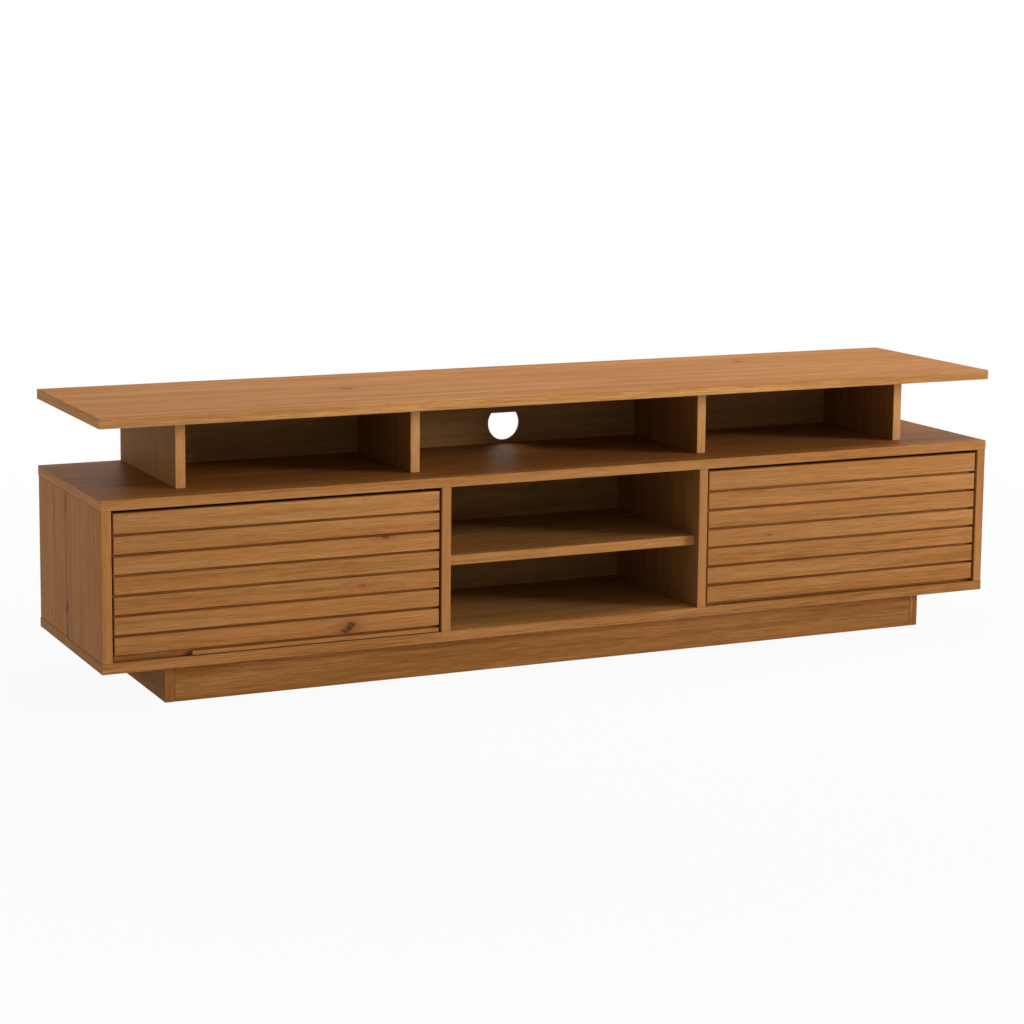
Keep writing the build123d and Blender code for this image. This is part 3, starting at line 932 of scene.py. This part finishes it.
def makePeg(name, low, high, shape):
    side = sign(low.x)
    middle = (low + high) / 2
    tipX = low.x if side > 0 else high.x
    peg = startBlock(name, (min(tipX, middle.x), low.y, low.z), (max(tipX, middle.x), high.y, high.z))
    roundEdges(peg, edgesAt("x", tipX), shape["round"], shape["steps"])
    length = (high.x - low.x) / 2
    sink = length / 4
    pinAt = (middle.x - side * sink, middle.y, middle.z)
    carve(peg, startRod("pin", pinAt, (side, 0, 0), shape["pin"], length + sink), "UNION")
    smooth(peg)
    standFor(peg, "shelf_pegs", nylon)


for count, (low, high) in enumerate(solidBoxes("shelf_pegs"), 1):
    makePeg(f"shelf_peg_{count}", low, high, pegShape)

# Pivot pins and their flanged bushes
pinShape = {"rim": 0.0006, "rimSteps": 3}
bushShape = {"sides": 48, "stem": 0.0060, "stemDeep": 0.0100, "rim": 0.0004, "rimSteps": 2, "bore": 0.00305}


def makePin(node, count, low, high, shape):
    middle = (low + high) / 2
    radius = (high.x - low.x) / 2
    pin = startRod(f"{node}_{count}", (middle.x, middle.y, low.z), up, radius, high.z - low.z)

    def onRim(first, second):
        return near(first.z, second.z)

    roundEdges(pin, onRim, shape["rim"], shape["rimSteps"])
    smooth(pin)
    standFor(pin, node, burnished)


def makeBush(radius, flange, shape):
    bush = startRod("pivot_bush", (0, 0, -flange), up, radius, flange, shape["sides"])
    pickFaces(bush, lambda centre, way: points(way, up))
    bpy.ops.mesh.inset(thickness=radius - shape["stem"])
    extrude((0, 0, shape["stemDeep"]))
    backToObject()
    roundEdges(bush, edgesAt("z", -flange), shape["rim"], shape["rimSteps"])
    boreLength = 2 * shape["stemDeep"]
    carve(bush, startRod("bore", (0, 0, -2 * flange), up, shape["bore"], boreLength, shape["sides"]))
    smooth(bush)
    return bush


for node in ("left_door_pivot_pins", "right_door_pivot_pins"):
    for count, (low, high) in enumerate(solidBoxes(node), 1):
        makePin(node, count, low, high, pinShape)
bushBoxes = solidBoxes("pivot_bushes")
bushSize = bushBoxes[0][1] - bushBoxes[0][0]
bushFlange = bushSize.z - bushShape["stemDeep"]
bushModel = makeBush(bushSize.x / 2, bushFlange, bushShape)
halfHeight = sum(low.z for low, high in bushBoxes) / len(bushBoxes)
for count, (low, high) in enumerate(bushBoxes, 1):
    middle = (low + high) / 2
    way = sign(middle.z - halfHeight)
    seatZ = low.z + bushFlange if way > 0 else high.z - bushFlange
    move = facing((middle.x, middle.y, seatZ), (0, 0, way))
    standFor(copied(bushModel, f"pivot_bush_{count}", move), "pivot_bushes", nylon)
bpy.data.objects.remove(bushModel)
print("pegs, pins and bushes in place")

# Camera: the photograph's angle, with the frame slid down a little
cameraView = {
    "place": (-2.0928, -4.3511, 1.1492),
    "turnRight": 25.238,
    "lookDown": 8.011,
    "roll": 0.564,
    "lens": 90.58,
    "slide": -0.1094,
    "farClip": 60.0,
}


def makeCamera(view):
    deselect()
    bpy.ops.object.camera_add()
    camera = bpy.context.object
    turn = Matrix.Rotation(-math.radians(view["turnRight"]), 4, "Z")
    tilt = Matrix.Rotation(math.radians(90 - view["lookDown"]), 4, "X")
    roll = Matrix.Rotation(math.radians(view["roll"]), 4, "Z")
    camera.matrix_world = Matrix.Translation(view["place"]) @ turn @ tilt @ roll
    camera.data.lens = view["lens"]
    camera.data.shift_y = view["slide"]
    camera.data.clip_end = view["farClip"]
    bpy.context.scene.camera = camera


makeCamera(cameraView)

# White studio: a pale floor that keeps the shadow, and white all round it
studio = {
    "floorSize": 40.0,
    "floorColour": (0.70, 0.70, 0.70, 1.0),
    "whiteNear": 0.94,
    "fade": (1.2, 3.2),
    "skyOnObject": 0.32,
    "aim": (0.0, -0.05, 0.25),
}
lamps = {
    "key_light": {"place": (0.5, 0.1, 3.2), "size": (2.4, 1.4), "power": 37.0},
    "front_light": {"place": (12.5, -8.0, 3.3), "size": (4.0, 4.0), "power": 1660.0},
    "right_light": {"place": (4.4, 0.1, 2.4), "size": (1.2, 1.2), "power": 70.0},
    "left_light": {"place": (-5.0, 0.5, 1.0), "size": (2.0, 2.0), "power": 20.0},
    "rear_light": {"place": (0.15, 2.6, 1.5), "size": (0.6, 0.4), "power": 24.0, "inGloss": False},
}


def seenDirectly(tree):
    rays = tree.nodes.new("ShaderNodeLightPath").outputs
    seen = calc(tree, "MAXIMUM", rays["Is Camera Ray"], rays["Is Glossy Ray"])
    return calc(tree, "MAXIMUM", seen, rays["Is Transmission Ray"])


def makeFloor(settings):
    deselect()
    bpy.ops.mesh.primitive_plane_add(size=settings["floorSize"])
    floor = bpy.context.object
    floor.name = "studio_floor"
    finish, tree, shader = newFinish("studio_white")
    tree.nodes.remove(shader)
    matt = tree.nodes.new("ShaderNodeBsdfDiffuse")
    matt.inputs["Color"].default_value = settings["floorColour"]
    white = tree.nodes.new("ShaderNodeEmission")
    blend = tree.nodes.new("ShaderNodeMixShader")
    distance = vectorCalc(tree, "LENGTH", place(tree))
    share = remap(tree, distance, *settings["fade"], settings["whiteNear"], 1.0)
    feed(tree, blend.inputs["Fac"], calc(tree, "MULTIPLY", share, seenDirectly(tree)))
    tree.links.new(matt.outputs["BSDF"], blend.inputs[1])
    tree.links.new(white.outputs["Emission"], blend.inputs[2])
    tree.links.new(blend.outputs["Shader"], tree.nodes["Material Output"].inputs["Surface"])
    floor.data.materials.append(finish)


def makeSky(settings):
    world = bpy.data.worlds.new("studio_sky")
    world.use_nodes = True
    tree = world.node_tree
    sky = tree.nodes["Background"]
    sky.inputs["Color"].default_value = (1.0, 1.0, 1.0, 1.0)
    strength = remap(tree, seenDirectly(tree), 0.0, 1.0, settings["skyOnObject"], 1.0, "LINEAR")
    feed(tree, sky.inputs["Strength"], strength)
    bpy.context.scene.world = world


def makeLight(name, lamp, aim):
    deselect()
    bpy.ops.object.light_add(type="AREA", location=lamp["place"])
    light = bpy.context.object
    light.name = name
    light.data.shape = "RECTANGLE"
    light.data.size, light.data.size_y = lamp["size"]
    light.data.energy = lamp["power"]
    light.visible_glossy = lamp.get("inGloss", True)
    towards = Vector(aim) - Vector(lamp["place"])
    light.rotation_euler = towards.to_track_quat("-Z", "Y").to_euler()


makeFloor(studio)
makeSky(studio)
for name, lamp in lamps.items():
    makeLight(name, lamp, studio["aim"])
bpy.context.scene.view_settings.view_transform = "Standard"
print("studio ready")

print("finished")
